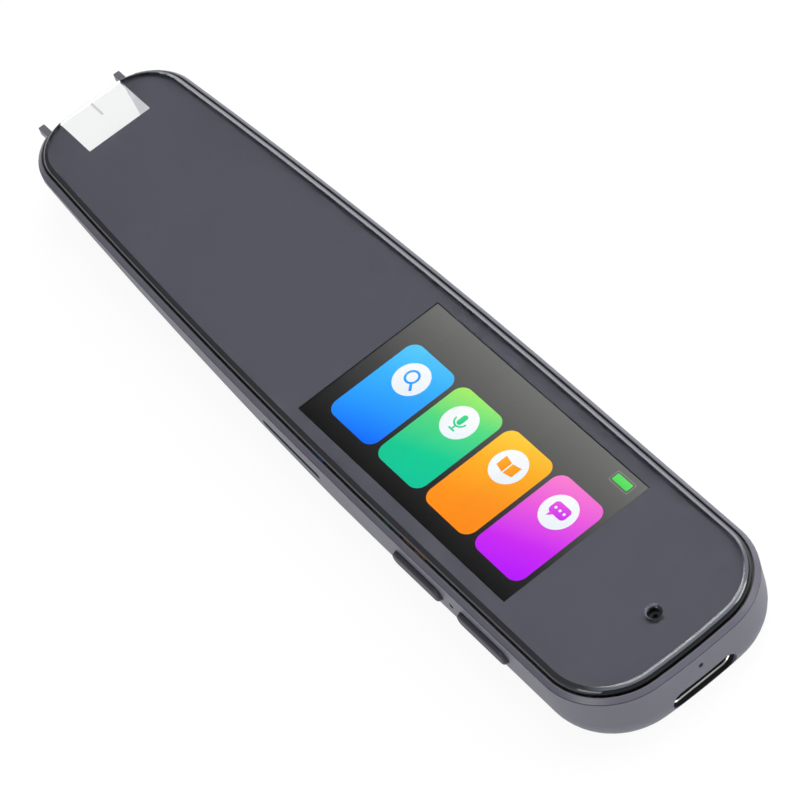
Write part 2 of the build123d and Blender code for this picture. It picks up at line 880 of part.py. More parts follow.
def screws_at(places):
    """Slotted screws that stand in the bosses, through a board."""
    screws = Part()
    head_top = board_top + screw_head_height
    slot_length = screw_head_radius * 2 + overrun
    for x, y in places:
        screw = post(x, y, board_top - screw_length, board_top, screw_radius)
        screw += post(x, y, board_top, head_top, screw_head_radius)
        low = head_top - driver_slot_depth
        screws += screw - slab(x, y, low, slot_length, driver_slot_width, driver_slot_depth)
    return screws


def main_board_screws():
    """The four screws of the main board."""
    return screws_at(board_boss_places)


def tip_board_screws():
    """The two screws of the tip board."""
    return screws_at(tip_boss_places())


def glass_microphone():
    """The microphone capsule under the hole in the glass."""
    return slab(0, microphone_y, board_top, capsule_width, capsule_length, capsule_height)


def glass_microphone_boot():
    """The rubber boot that leads sound from the hole in the glass to the capsule."""
    low = board_top + capsule_height
    boot = post(0, microphone_y, low, print_bottom, glass_hole_radius + boot_wall * 2)
    return boot - post(0, microphone_y, low, print_bottom, boot_bore_radius)


def end_microphone():
    """The second capsule, at the board's end behind the pinhole."""
    return slab(0, end_capsule_y, board_top, capsule_width, capsule_length, capsule_height)


def end_microphone_boot():
    """The rubber block between the pinhole and the second capsule."""
    front = port_y + shell_wall + boot_gap
    low = pinhole_z - pinhole_radius - boot_wall
    high = board_top + capsule_height
    boot = wide_block(capsule_width / 2, front, board_end_y, low, high)
    boot -= ring(0, shell_wall + boot_gap, low, high)
    return boot - rod_y(front - overrun, board_end_y + overrun, 0, pinhole_z, pinhole_radius)


def charge_light():
    """The lamp on the board behind the pinhole between the buttons."""
    x = light_pipe_recess + light_pipe_length + light_width / 2 - half_width
    return under_board(x, light_y, light_width, light_width, light_height)


def charge_light_pipe():
    """The clear rod that carries the lamp's light through the wall."""
    outer = light_pipe_recess - half_width
    return rod_x(outer, outer + light_pipe_length, light_y, button_z, light_pipe_radius)


def side_button(y):
    """A keycap that stands out of the side, with the flange that keeps it in and its pressing post."""
    outer = -half_width - button_proud
    cap = pill_x(outer, -flange_outer_x, y, button_z, button_length, button_height)
    cap = fillet(cap.faces().sort_by(Axis.X)[0].edges(), radius=button_edge_radius)
    cap += pill_x(-flange_outer_x, -flange_inner_x, y, button_z, flange_length, flange_height)
    low = switch_plunger_z - button_post_height / 2
    half = button_post_width / 2
    return cap + block(-flange_inner_x, -plunger_tip_x, y - half, y + half, low, low + button_post_height)


def side_switch(y):
    """The little side-acting switch under the board's edge, hollow where its plunger runs."""
    body = under_board(switch_depth / 2 - switch_front_x, y, switch_depth, switch_width, switch_height)
    half = plunger_width / 2 + plunger_gap
    low = switch_plunger_z - plunger_height / 2 - plunger_gap
    high = switch_plunger_z + plunger_height / 2 + plunger_gap
    deep = plunger_depth + button_travel + plunger_gap - switch_front_x
    return body - block(-switch_front_x, deep, y - half, y + half, low, high)


def side_switch_plunger(y):
    """The plunger that the keycap's post pushes."""
    half = plunger_width / 2
    low = switch_plunger_z - plunger_height / 2
    deep = plunger_depth - switch_front_x
    return block(-plunger_tip_x, deep, y - half, y + half, low, low + plunger_height)


def battery_cell():
    """The flat pouch cell between the speaker and the tip board, with its folded seal."""
    low = shell_wall + battery_pad_thickness
    half = side_at(battery_front_y, shell_wall) - battery_side_gap
    start = battery_back_y + battery_seal_length
    cell = wide_block(half, start, battery_front_y, low, battery_top)
    cell = fillet(cell.edges().filter_by(Axis.Y), radius=battery_edge_radius)
    seal_low = (low + battery_top - battery_seal_thickness) / 2
    seal_high = seal_low + battery_seal_thickness
    return cell + wide_block(half - battery_edge_radius, battery_back_y, start, seal_low, seal_high)


def battery_pad():
    """The double-sided pad that sticks the cell to the shell's floor."""
    start = battery_back_y + battery_seal_length + battery_edge_radius
    end = battery_front_y - battery_edge_radius
    half = side_at(end, underside_radius)
    return wide_block(half, start, end, shell_wall, shell_wall + battery_pad_thickness)


def battery_board():
    """The protection board on the cell's seal."""
    y = battery_back_y - battery_board_thickness / 2
    low = (shell_wall + battery_pad_thickness + battery_top - battery_board_height) / 2
    return slab(battery_board_x, y, low, battery_board_width, battery_board_thickness, battery_board_height)


def battery_leads():
    """The two wires from the protection board to the plug under the main board."""
    wires = Part()
    start = board_front_y - socket_from_edge
    end = battery_back_y - battery_board_thickness
    for side in (-1, 1):
        wires += rod_y(start, end, battery_board_x + side * lead_spacing / 2, lead_z, lead_radius)
    return wires


def battery_plug():
    """The plug and socket that the battery's wires end in."""
    y = board_front_y - socket_from_edge - battery_plug_length / 2
    return under_board(battery_board_x, y, battery_plug_width, battery_plug_length, battery_plug_height)


def speaker_sides():
    """Where the speaker box's outer and inner sides are, between the shell and the battery's wires."""
    outer_x = -side_at(speaker_front_y, underside_radius)
    inner_x = battery_board_x - lead_spacing / 2 - lead_radius - speaker_from_leads
    return outer_x, inner_x


def speaker_box():
    """The speaker's sealed box, whose nozzle opens behind the slot in the side."""
    outer_x, inner_x = speaker_sides()
    nozzle_x = speaker_wall + speaker_mesh_thickness - side_at(speaker_front_y, 0)
    nozzle_high = speaker_nozzle_low + speaker_nozzle_height
    wall = speaker_box_wall
    box = block(outer_x, inner_x, speaker_back_y, speaker_front_y, shell_wall, speaker_top)
    box += block(nozzle_x, outer_x, speaker_back_y, speaker_front_y, speaker_nozzle_low, nozzle_high)
    box -= pill_x(nozzle_x - overrun, outer_x + wall, speaker_y, speaker_z,
                  speaker_slot_length, speaker_duct_height)
    return box - block(outer_x + wall, inner_x - wall, speaker_back_y + wall, speaker_front_y - wall,
                       shell_wall + wall, speaker_top)


def speaker_driver():
    """The driver that closes the speaker's box from above, with its sunken cone."""
    outer_x, inner_x = speaker_sides()
    centre_x = (outer_x + inner_x) / 2
    low = speaker_top - speaker_driver_depth
    width = inner_x - outer_x - (speaker_box_wall + speaker_driver_gap) * 2
    length = speaker_box_length - (speaker_box_wall + speaker_driver_gap) * 2
    frame = slab(centre_x, speaker_y, low, width, length, speaker_driver_depth)
    cone = Rot(0, 0, 90) * SlotOverall(length - speaker_cone_margin, width - speaker_cone_margin)
    return frame - extrude(Pos(centre_x, speaker_y, speaker_top) * cone, amount=-speaker_driver_depth / 2)


def speaker_mesh():
    """The fine dust mesh between the slot and the speaker's nozzle."""
    x = speaker_wall - side_at(speaker_front_y, 0)
    high = speaker_nozzle_low + speaker_nozzle_height
    return block(x, x + speaker_mesh_thickness, speaker_back_y, speaker_front_y, speaker_nozzle_low, high)


def tip_board():
    """The board behind the scanning mouth, narrower where it passes over the camera."""
    half = side_at(tip_board_neck_y, board_edge_inset)
    board = wide_block(half, tip_board_back_y, tip_board_neck_y, board_bottom, board_top)
    neck = tip_board_neck_half_width
    board += wide_block(neck, tip_board_neck_y, tip_board_front_y, board_bottom, board_top)
    for x, y in tip_boss_places():
        board -= post(x, y, board_bottom, board_top, screw_radius + board_hole_gap)
    return board


def camera_board():
    """The upright board that carries the image sensor, soldered under the tip board."""
    back = holder_back_y - camera_board_thickness
    low = board_bottom - camera_board_drop
    return wide_block(camera_board_width / 2, back, holder_back_y, low, board_bottom)


def image_sensor():
    """The sensor chip inside the lens holder."""
    low = lens_z - sensor_height / 2
    front = holder_back_y + sensor_thickness
    return wide_block(sensor_width / 2, holder_back_y, front, low, low + sensor_height)


def lens_holder():
    """The box that holds the lens barrel in front of the sensor."""
    low = lens_z - holder_height / 2
    box = wide_block(holder_width / 2, holder_back_y, holder_front_y, low, low + holder_height)
    room_low = lens_z - sensor_height / 2 - sensor_gap
    room_high = lens_z + sensor_height / 2 + sensor_gap
    bore_start = barrel_back_y - sensor_gap
    box -= wide_block(sensor_width / 2 + sensor_gap, holder_back_y, bore_start, room_low, room_high)
    return box - rod_y(bore_start, holder_front_y + overrun, 0, lens_z, barrel_radius + lens_seat_gap)


def lens_barrel():
    """The tube that carries the lenses."""
    tube = rod_y(barrel_back_y, barrel_front_y, 0, lens_z, barrel_radius)
    return tube - rod_y(barrel_back_y - overrun, barrel_front_y + overrun, 0, lens_z, barrel_bore_radius)


def lenses():
    """The two glass discs in the barrel."""
    discs = Part()
    for start in (barrel_back_y + lens_disc_thickness, barrel_front_y - lens_disc_thickness * 2):
        end = start + lens_disc_thickness
        discs += rod_y(start, end, 0, lens_z, barrel_bore_radius - lens_seat_gap)
    return discs


def lamp_board():
    """The small board behind the hood that carries the lamps round the lens."""
    low = shell_wall + lamp_board_gap
    high = board_bottom - lamp_board_gap
    back = lamp_board_back_y
    board = wide_block(window_half_width, back, hood_back_y, low, high)
    return board - rod_y(back - overrun, hood_back_y + overrun, 0, lens_z, barrel_radius + barrel_gap)


def lamp_boxes(margin, back, front):
    """The two lamps' boxes beside the lens, grown by a margin."""
    boxes = Part()
    width = lamp_width + margin * 2
    height = lamp_height + margin * 2
    for side in (-1, 1):
        boxes += slab(side * lamp_x, (back + front) / 2, lens_z - height / 2, width, front - back, height)
    return boxes


def scan_lamps():
    """The two lamps that light the page through the mouth."""
    return lamp_boxes(0, hood_back_y, hood_back_y + lamp_depth)


def hood_rails():
    """The two pairs of rails beside the hood that guide the nib's arms."""
    rails = Part()
    wall_x = window_half_width + hood_wall
    back = hood_back_y + rail_start
    front = mouth_top_y - rail_end_gap
    below = foot_z - foot_height / 2 - slide_gap - rail_height
    above = foot_z + foot_height / 2 + slide_gap
    for side in (-1, 1):
        x = side * (wall_x + rail_width / 2)
        for low in (below, above):
            rails += slab(x, (back + front) / 2, low, rail_width, front - back, rail_height)
    return rails


def scan_hood():
    """The pale funnel between the lens and the mouth, with the rails that guide the nib."""
    inner = window_half_width
    floor = shell_wall + hood_wall
    roof = print_bottom - hood_wall
    back = hood_back_y + hood_wall
    front = tip_y + overrun
    hood = wide_block(inner + hood_wall, hood_back_y, tip_y, shell_wall, print_bottom)
    hood -= wide_block(inner, back, front, floor, roof)
    hood -= wide_block(inner, window_base_y, front, floor, body_height)
    hood -= rod_y(hood_back_y - overrun, back + overrun, 0, lens_z, barrel_radius + barrel_gap)
    hood -= lamp_boxes(lamp_gap, hood_back_y - overrun, back + overrun)
    return hood + hood_rails() - mouth_cut(half_width)


def nib_frame():
    """The sliding fork whose two feet stand out of the tip and press on the page."""
    bar_low = board_top + nib_bar_lift
    half = foot_centre_x + foot_width / 2
    frame = wide_block(half, nib_bar_back_y, nib_bar_front_y, bar_low, bar_low + nib_bar_height)
    length = tip_y + foot_reach - nib_bar_back_y
    middle = nib_bar_back_y + length / 2
    for side in (-1, 1):
        arm = slab(side * foot_centre_x, middle, foot_z - foot_height / 2, foot_width, length, foot_height)
        frame += fillet(arm.faces().sort_by(Axis.Y)[-1].edges(), radius=foot_end_radius)
    return frame


def nib_switch():
    """The switch on the tip board that the nib closes when it is pressed on the page."""
    y = nib_switch_front_y - nib_switch_length / 2
    body = slab(0, y, board_top, nib_switch_width, nib_switch_length, nib_switch_height)
    deep = nib_switch_front_y - nib_plunger_depth - nib_travel - plunger_gap
    radius = nib_plunger_radius + plunger_gap
    return body - rod_y(deep, nib_switch_front_y + overrun, 0, nib_plunger_z, radius)


def nib_switch_plunger():
    """The switch's plunger, which rides with the nib."""
    start = nib_switch_front_y - nib_plunger_depth
    return rod_y(start, nib_bar_back_y, 0, nib_plunger_z, nib_plunger_radius)


single_pieces = [
    back_shell, front_bezel, glass_surround, glass_adhesive, cover_glass, glass_print, aiming_mark,
    display_adhesive, lcd_panel, backlight_unit, display_flex, ribbon_connectors, camera_flex,
    main_board, processor_chip, memory_chip, power_chip, wireless_shield, antenna_chip,
    port_shell, port_tongue, main_board_screws, tip_board_screws,
    glass_microphone, glass_microphone_boot, end_microphone, end_microphone_boot,
    charge_light, charge_light_pipe,
    battery_cell, battery_pad, battery_board, battery_leads, battery_plug,
    speaker_box, speaker_driver, speaker_mesh,
    tip_board, camera_board, image_sensor, lens_holder, lens_barrel, lenses, lamp_board, scan_lamps,
    scan_hood, nib_frame, nib_switch, nib_switch_plunger,
]

os.makedirs("parts", exist_ok=True)
for piece in single_pieces:
    export_step(piece(), f"parts/{piece.__name__}.step")
for place, y in button_places.items():
    export_step(side_button(y), f"parts/{place}_button.step")
    export_step(side_switch(y), f"parts/{place}_switch.step")
    export_step(side_switch_plunger(y), f"parts/{place}_switch_plunger.step")
print(len(single_pieces), "single pieces and", len(button_places), "buttons with their switches written")
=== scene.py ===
# %% [markdown]
# A scanning pen on a pale studio floor.
# The casing, the boards, the camera behind the window and everything that moves come from the frame.
# This script gives each of them the finish of the real thing, with painted light and shade on the glass's
# rolled edge, the hood, the aiming line and the port, and adds what only shows:
# the lit picture on the display, a black sheet in the speaker's slot that is painted shade, and the port's
# lining of painted shade, its lip with a painted highlight, and its contacts.
# First the frame is loaded, because every later piece takes its place from it.

# %% Load the frame
import math

import bmesh
import bpy
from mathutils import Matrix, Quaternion, Vector


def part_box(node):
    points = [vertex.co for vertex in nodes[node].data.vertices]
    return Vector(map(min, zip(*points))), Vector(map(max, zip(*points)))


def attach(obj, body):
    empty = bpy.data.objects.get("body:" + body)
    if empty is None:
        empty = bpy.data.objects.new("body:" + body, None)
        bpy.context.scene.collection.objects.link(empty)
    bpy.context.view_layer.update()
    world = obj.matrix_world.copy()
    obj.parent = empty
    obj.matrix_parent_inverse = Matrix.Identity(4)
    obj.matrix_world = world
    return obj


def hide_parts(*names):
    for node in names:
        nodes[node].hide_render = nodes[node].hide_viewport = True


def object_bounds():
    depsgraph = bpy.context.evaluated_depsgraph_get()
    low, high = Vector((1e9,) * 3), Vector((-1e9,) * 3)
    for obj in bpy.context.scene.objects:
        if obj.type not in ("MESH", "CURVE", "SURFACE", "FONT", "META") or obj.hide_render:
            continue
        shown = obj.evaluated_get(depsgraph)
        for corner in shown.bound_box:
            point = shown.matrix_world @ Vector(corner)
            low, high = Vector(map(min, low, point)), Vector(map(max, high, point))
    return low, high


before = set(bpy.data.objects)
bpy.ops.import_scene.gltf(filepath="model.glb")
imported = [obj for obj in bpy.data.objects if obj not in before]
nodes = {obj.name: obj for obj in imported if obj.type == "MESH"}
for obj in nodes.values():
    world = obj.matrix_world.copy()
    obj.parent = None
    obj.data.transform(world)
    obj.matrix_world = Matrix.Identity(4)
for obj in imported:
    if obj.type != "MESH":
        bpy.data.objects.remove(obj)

mm = 0.001
cad_low, cad_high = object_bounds()
print("nodes", len(nodes), "CAD box in mm", [round(v / mm, 2) for v in cad_high - cad_low])

# %% [markdown]
# The camera comes next, since it decides what has to look right.
# The pen is photographed with a long lens from above its port end, and the picture is turned a little,
# so the camera is placed, aimed at the glass and then rolled about its own line of sight.

# %% Camera
camera_place = Vector((-103.993, -279.514, 349.483)) * mm
camera_aim = Vector((-1.780, -10.352, 10.8)) * mm
camera_roll = math.radians(-21.171)
camera_lens = 159.91
camera_sensor = 36.0

camera_data = bpy.data.cameras.new("studio_camera")
camera_data.lens = camera_lens
camera_data.sensor_width = camera_sensor
camera = bpy.data.objects.new("studio_camera", camera_data)
bpy.context.scene.collection.objects.link(camera)
camera.location = camera_place
aim = (camera_aim - camera_place).to_track_quat("-Z", "Y")
camera.rotation_mode = "QUATERNION"
camera.rotation_quaternion = aim @ Quaternion((0, 0, 1), camera_roll)
bpy.context.scene.camera = camera
bpy.context.view_layer.update()
print("camera looks right along", [round(v, 4) for v in camera.matrix_world.col[0][:3]])

# %% [markdown]
# Every colour below is an sRGB hex value, as a paint card or a screen gives it.
# Shaders work in linear light, so one function turns the one into the other.
# A second function adds a node with its settings and its links, which keeps each material short.

# %% Colour and node helpers
def linear(hex_colour):
    """An sRGB hex colour as the linear colour that a shader takes."""
    channels = [int(hex_colour[i:i + 2], 16) / 255 for i in (1, 3, 5)]
    return [c / 12.92 if c <= 0.04045 else ((c + 0.055) / 1.055) ** 2.4 for c in channels] + [1.0]


def add_node(tree, kind, settings=None, links=None):
    """Adds a node, fills in its settings and joins its inputs to other nodes' outputs."""
    node = tree.nodes.new(kind)
    for name, value in (settings or {}).items():
        if isinstance(name, int) or name in node.inputs:
            node.inputs[name].default_value = value
        else:
            setattr(node, name, value)
    for name, output in (links or {}).items():
        tree.links.new(output, node.inputs[name])
    return node


def new_material(name):
    """An empty node material, its tree and its output node."""
    material = bpy.data.materials.new(name)
    material.use_nodes = True
    tree = material.node_tree
    tree.nodes.clear()
    return material, tree, add_node(tree, "ShaderNodeOutputMaterial")


print("mid grey in linear light is", round(linear("#808080")[0], 3))

# %% [markdown]
# Most of the pen is moulded plastic, and what differs is how its mould was finished.
# A spark-eroded mould leaves fine pits, a polished one leaves a mirror.
# So one recipe serves them all: a colour that clouds a little, and a grain that roughens the surface.
# The grain is worked out from the width of one pit in millimetres.

# %% A recipe for moulded and cast surfaces
cloud_width = 9
rough_spread = 0.15


def grained(name, colour, cloud_colour, roughness, grain, depth, metallic=0.0, glow=0.0):
    """A surface whose colour clouds between two shades and whose grain is that many millimetres wide."""
    material, tree, output = new_material(name)
    place = add_node(tree, "ShaderNodeTexCoord")
    clouds = add_node(tree, "ShaderNodeTexNoise", {"Scale": 1 / (cloud_width * mm), "Detail": 3.0},
                      {"Vector": place.outputs["Object"]})
    pits = add_node(tree, "ShaderNodeTexNoise", {"Scale": 1 / (grain * mm), "Detail": 2.0},
                    {"Vector": place.outputs["Object"]})
    tint = add_node(tree, "ShaderNodeMix", {"data_type": "RGBA", 6: linear(colour), 7: linear(cloud_colour)},
                    {0: clouds.outputs["Fac"]})
    rough = add_node(tree, "ShaderNodeMapRange",
                     {"To Min": roughness * (1 - rough_spread),
                      "To Max": min(roughness * (1 + rough_spread), 1)},
                     {"Value": pits.outputs["Fac"]})
    bump = add_node(tree, "ShaderNodeBump", {"Strength": 1.0, "Distance": depth * mm},
                    {"Height": pits.outputs["Fac"]})
    shader = add_node(tree, "ShaderNodeBsdfPrincipled",
                      {"Metallic": metallic, "IOR": 1.5,
                       "Emission Color": linear(colour), "Emission Strength": glow},
                      {"Base Color": tint.outputs[2], "Roughness": rough.outputs["Result"],
                       "Normal": bump.outputs["Normal"]})
    tree.links.new(shader.outputs["BSDF"], output.inputs["Surface"])
    return material


def dress(material, *names):
    """Gives CAD nodes a material."""
    for name in names:
        mesh = nodes[name].data
        mesh.materials.clear()
        mesh.materials.append(material)
    print(material.name, "on", ", ".join(names))


# %% [markdown]
# The tub is polycarbonate from a spark-eroded mould, through-coloured slate grey with a touch of violet.
# Its pits are a tenth of a millimetre wide, which kills the gloss and leaves a soft sheen at grazing angles.
# The ring round the glass comes from a finer mould, so it is a little darker and smoother.
# The seat under the glass's edge is black, so that the edge reads as a dark line.

# %% Casing
dress(grained("spark_textured_polycarbonate", "#63636E", "#5E5E69", 0.48, 0.12, 0.004), "back_shell")
dress(grained("fine_textured_polycarbonate", "#5A5964", "#565560", 0.36, 0.08, 0.002), "front_bezel")
dress(grained("polished_black_abs", "#0A0A0C", "#060608", 0.45, 0.5, 0.0004), "glass_surround")

# %% [markdown]
# Glass and clear plastic are rendered as such: light goes through them and is bent on the way.
# They are polished, and only faint smears of handling, some millimetres wide, break up what they mirror.
# The camera's lenses are coated, which tints them blue, and the pipe that carries the charge light out
# to its pinhole is moulded acrylic.

# %% A recipe for clear glass
smear_width = 14


def clear_glass(name, tint, roughness, ior):
    """Polished glass or acrylic that light goes through."""
    material, tree, output = new_material(name)
    place = add_node(tree, "ShaderNodeTexCoord")
    smears = add_node(tree, "ShaderNodeTexNoise", {"Scale": 1 / (smear_width * mm), "Detail": 2.0},
                      {"Vector": place.outputs["Object"]})
    rough = add_node(tree, "ShaderNodeMapRange", {"To Min": roughness, "To Max": roughness * 2},
                     {"Value": smears.outputs["Fac"]})
    shader = add_node(tree, "ShaderNodeBsdfPrincipled",
                      {"Base Color": linear(tint), "Transmission Weight": 1.0, "IOR": ior},
                      {"Roughness": rough.outputs["Result"]})
    tree.links.new(shader.outputs["BSDF"], output.inputs["Surface"])
    return material


dress(clear_glass("coated_lens_glass", "#E8ECFF", 0.01, 1.6), "lenses")
dress(clear_glass("clear_moulded_acrylic", "#F4F6F6", 0.05, 1.49), "charge_light_pipe")

# %% [markdown]
# The front is one sheet of toughened glass with a rolled edge.
# Its body is clear. Its rolled edge is clear too, but here it is given an opaque dark colour: painted shade
# and reflection in place of the black seat that the eye sees down through it.
# So the colour is chosen by height: clear on the flat top and the underside, painted dark in between,
# and clear all through in the window at the tip.

# %% Cover glass: where it is clear
cover_tint = "#FCFDFD"
flat_depth = 0.02
edge_height = cad_high.z / mm - flat_depth
edge_depth = 0.95
window_front_y = 64.2
window_half_width = 5.2

cover_glass = clear_glass("toughened_cover_glass", cover_tint, 0.01, 1.5)
tree = cover_glass.node_tree
shader = tree.nodes["Principled BSDF"]
place = tree.nodes["Texture Coordinate"]
axes = add_node(tree, "ShaderNodeSeparateXYZ", {}, {0: place.outputs["Object"]})
above = add_node(tree, "ShaderNodeMath", {"operation": "GREATER_THAN", 1: edge_height * mm},
                 {0: axes.outputs["Z"]})
below = add_node(tree, "ShaderNodeMath", {"operation": "LESS_THAN", 1: (edge_height - edge_depth) * mm},
                 {0: axes.outputs["Z"]})
ahead = add_node(tree, "ShaderNodeMath", {"operation": "GREATER_THAN", 1: window_front_y * mm},
                 {0: axes.outputs["Y"]})
middle = add_node(tree, "ShaderNodeMath", {"operation": "COMPARE", 1: 0.0, 2: window_half_width * mm},
                  {0: axes.outputs["X"]})
window = add_node(tree, "ShaderNodeMath", {"operation": "MULTIPLY"},
                  {0: ahead.outputs["Value"], 1: middle.outputs["Value"]})
# Where this mask is nought, the rolled edge gets painted shade instead of clear glass.
clear = add_node(tree, "ShaderNodeMath", {"operation": "MAXIMUM"},
                 {0: below.outputs["Value"], 1: window.outputs["Value"]})
clear = add_node(tree, "ShaderNodeMath", {"operation": "MAXIMUM"},
                 {0: clear.outputs["Value"], 1: above.outputs["Value"]})
print("the edge is dark between", round(edge_height - edge_depth, 2), "and", round(edge_height, 2), "mm")

# %% [markdown]
# Towards the port and the right side the shoulder of the roll is painted a little grey, a painted reflection
# of a broad lamp, and the rest of the roll there is painted nearly black; the other side of the roll is
# painted dark grey. Which way a spot of the edge faces is read from the surface itself, so the painted
# reflection stays on the glass wherever it is seen from.

# %% Cover glass: painted reflection and shade on its rolled edge
shoulder_depth = 0.2
lit_direction = (0.6, -0.8, 0.0)
lit_from = -0.05
lit_to = 0.1
painted_reflection_tint = "#585C64"
painted_dark_roll_tint = "#141416"
painted_far_roll_tint = "#303034"

surface = add_node(tree, "ShaderNodeNewGeometry")
turned_to = add_node(tree, "ShaderNodeVectorMath", {"operation": "DOT_PRODUCT", 1: lit_direction},
                     {0: surface.outputs["Normal"]})
lit_side = add_node(tree, "ShaderNodeMapRange", {"From Min": lit_from, "From Max": lit_to},
                    {"Value": turned_to.outputs["Value"]})
shoulder = add_node(tree, "ShaderNodeMath",
                    {"operation": "GREATER_THAN", 1: (edge_height - shoulder_depth) * mm},
                    {0: axes.outputs["Z"]})
# On the side turned to the lamp: a grey painted reflection on the shoulder and painted near-black below it.
painted_lit_edge = add_node(tree, "ShaderNodeMix",
                    {"data_type": "RGBA", 6: linear(painted_dark_roll_tint), 7: linear(painted_reflection_tint)},
                    {0: shoulder.outputs["Value"]})
# Turned away from the lamp, the roll is painted dark grey.
edge = add_node(tree, "ShaderNodeMix", {"data_type": "RGBA", 6: linear(painted_far_roll_tint)},
                {0: lit_side.outputs["Result"], 7: painted_lit_edge.outputs[2]})
colour = add_node(tree, "ShaderNodeMix", {"data_type": "RGBA", 7: linear(cover_tint)},
                  {0: clear.outputs["Value"], 6: edge.outputs[2]})
tree.links.new(colour.outputs[2], shader.inputs["Base Color"])
tree.links.new(clear.outputs["Value"], shader.inputs["Transmission Weight"])
dress(cover_glass, "cover_glass")

# %% [markdown]
# The grey field is ink on the back of that glass, and so is the aiming line in the window.
# In the CAD model ink and glass touch, and a renderer can't tell which of two touching faces it meets first.
# So a print stands in as a copy whose top is a hundredth of a millimetre lower, which no eye can see.

# %% Print behind the glass
ink_gap = 0.012


def lowered_print(node, material):
    """A copy of a printed layer whose top lies just clear of the glass."""
    mesh = nodes[node].data.copy()
    low = min(v.co.z for v in mesh.vertices)
    high = max(v.co.z for v in mesh.vertices)
    for v in mesh.vertices:
        v.co.z = low + (v.co.z - low) * (1 - ink_gap * mm / (high - low))
    mesh.materials.clear()
    mesh.materials.append(material)
    piece = bpy.data.objects.new(node + "_clear_of_glass", mesh)
    bpy.context.scene.collection.objects.link(piece)
    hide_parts(node)
    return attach(piece, "casing")


grey_ink = grained("screen_printed_grey_ink", "#595965", "#555561", 0.6, 0.06, 0.0005)
lowered_print("glass_print", grey_ink)
print("print lowered by", ink_gap, "mm")

# %% [markdown]
# The adhesive between the glass and the display has the glass's own refractive index,
# so nothing at all is seen of it. A purely transparent shader says just that.

# %% Clear adhesive
adhesive, tree, output = new_material("optically_clear_adhesive")
unseen = add_node(tree, "ShaderNodeBsdfTransparent", {"Color": linear("#FFFFFF")})
tree.links.new(unseen.outputs["BSDF"], output.inputs["Surface"])
dress(adhesive, "display_adhesive")

# %% [markdown]
# Inside are the boards and what stands on them. They show only through the port and the slots,
# yet each gets the finish it is bought with, because the pen may be opened or turned over.
# Boards are glass cloth in resin under a green mask, ribbons are amber film, and chips are matt black resin.

# %% Finishes of boards and chips
dress(grained("solder_masked_fibreglass", "#0E4A32", "#0A3F2A", 0.3, 0.35, 0.004),
      "main_board", "tip_board", "camera_board", "lamp_board", "battery_board")
dress(grained("amber_polyimide_film", "#B4741E", "#9C6216", 0.35, 0.6, 0.001), "display_flex", "camera_flex")
dress(grained("display_panel_glass", "#08080A", "#0C0C0E", 0.08, 0.4, 0.0003), "lcd_panel")
dress(grained("black_moulded_epoxy", "#202022", "#29292B", 0.6, 0.1, 0.003),
      "processor_chip", "memory_chip", "power_chip", "image_sensor")
dress(grained("sintered_ceramic", "#DAD8D0", "#E2E0D8", 0.6, 0.1, 0.002), "antenna_chip")
dress(grained("clear_epoxy_over_phosphor", "#E8D860", "#F0E890", 0.25, 0.3, 0.001),
      "charge_light", "scan_lamps")

# %% [markdown]
# The metal parts differ in their plating and in how finely they were worked: tin on the cans and switches,
# nickel on the port's sleeve, plain turned steel in the screws, pressed steel behind the display.
# The battery cell is wrapped in foil that creases, so its grain is over a millimetre wide.

# %% Finishes of metal parts
dress(grained("pressed_steel_tray", "#B9BBBE", "#AFB1B4", 0.3, 0.3, 0.001, metallic=1.0), "backlight_unit")
dress(grained("bright_tin_plate", "#C4C6C6", "#B8BABA", 0.28, 0.5, 0.001, metallic=1.0),
      "wireless_shield", "upper_switch", "lower_switch", "nib_switch", "glass_microphone", "end_microphone")
dress(grained("brushed_nickel_plate", "#8E8C88", "#84827E", 0.3, 0.5, 0.0005, metallic=1.0), "port_shell")
dress(grained("turned_steel", "#8E9092", "#7E8082", 0.3, 0.2, 0.001, metallic=1.0),
      "main_board_screws", "tip_board_screws")
dress(grained("laminated_cell_foil", "#C8C9CB", "#BBBCBE", 0.3, 1.2, 0.02, metallic=1.0), "battery_cell")

# %% [markdown]
# Foam, silicone and cloth scatter light and hardly shine. Nylon, acetal and ABS are a little glossier,
# as the steel of their moulds leaves them.

# %% Finishes of rubber, foam and plastic parts
dress(grained("black_foam_tape", "#141414", "#1C1C1C", 0.9, 0.2, 0.02), "glass_adhesive", "battery_pad")
dress(grained("moulded_ivory_nylon", "#D9D4C6", "#D0CABB", 0.5, 0.2, 0.002),
      "ribbon_connectors", "battery_plug")
dress(grained("black_glass_filled_nylon", "#121214", "#18181A", 0.45, 0.1, 0.002), "port_tongue")
dress(grained("soft_black_silicone", "#0E0E10", "#141416", 0.7, 0.15, 0.003),
      "glass_microphone_boot", "end_microphone_boot")
dress(grained("natural_acetal", "#E4E2DA", "#DCDAD2", 0.4, 0.2, 0.001),
      "upper_switch_plunger", "lower_switch_plunger", "nib_switch_plunger")
dress(grained("red_wire_insulation", "#A01414", "#B01C18", 0.4, 0.3, 0.001), "battery_leads")
dress(grained("black_moulded_abs", "#18181A", "#1E1E20", 0.5, 0.15, 0.003),
      "speaker_box", "speaker_driver", "lens_holder", "lens_barrel")
dress(grained("woven_black_mesh_cloth", "#0C0C0D", "#16161A", 0.8, 0.1, 0.03), "speaker_mesh")

# %% [markdown]
# The hood behind the window is pale and glows faintly: painted light that brightens it under the glass of the
# window.
# The feet are a dark, slippery plastic that slides over paper.
# The button caps are coated with soft rubber, which takes the shine off them.

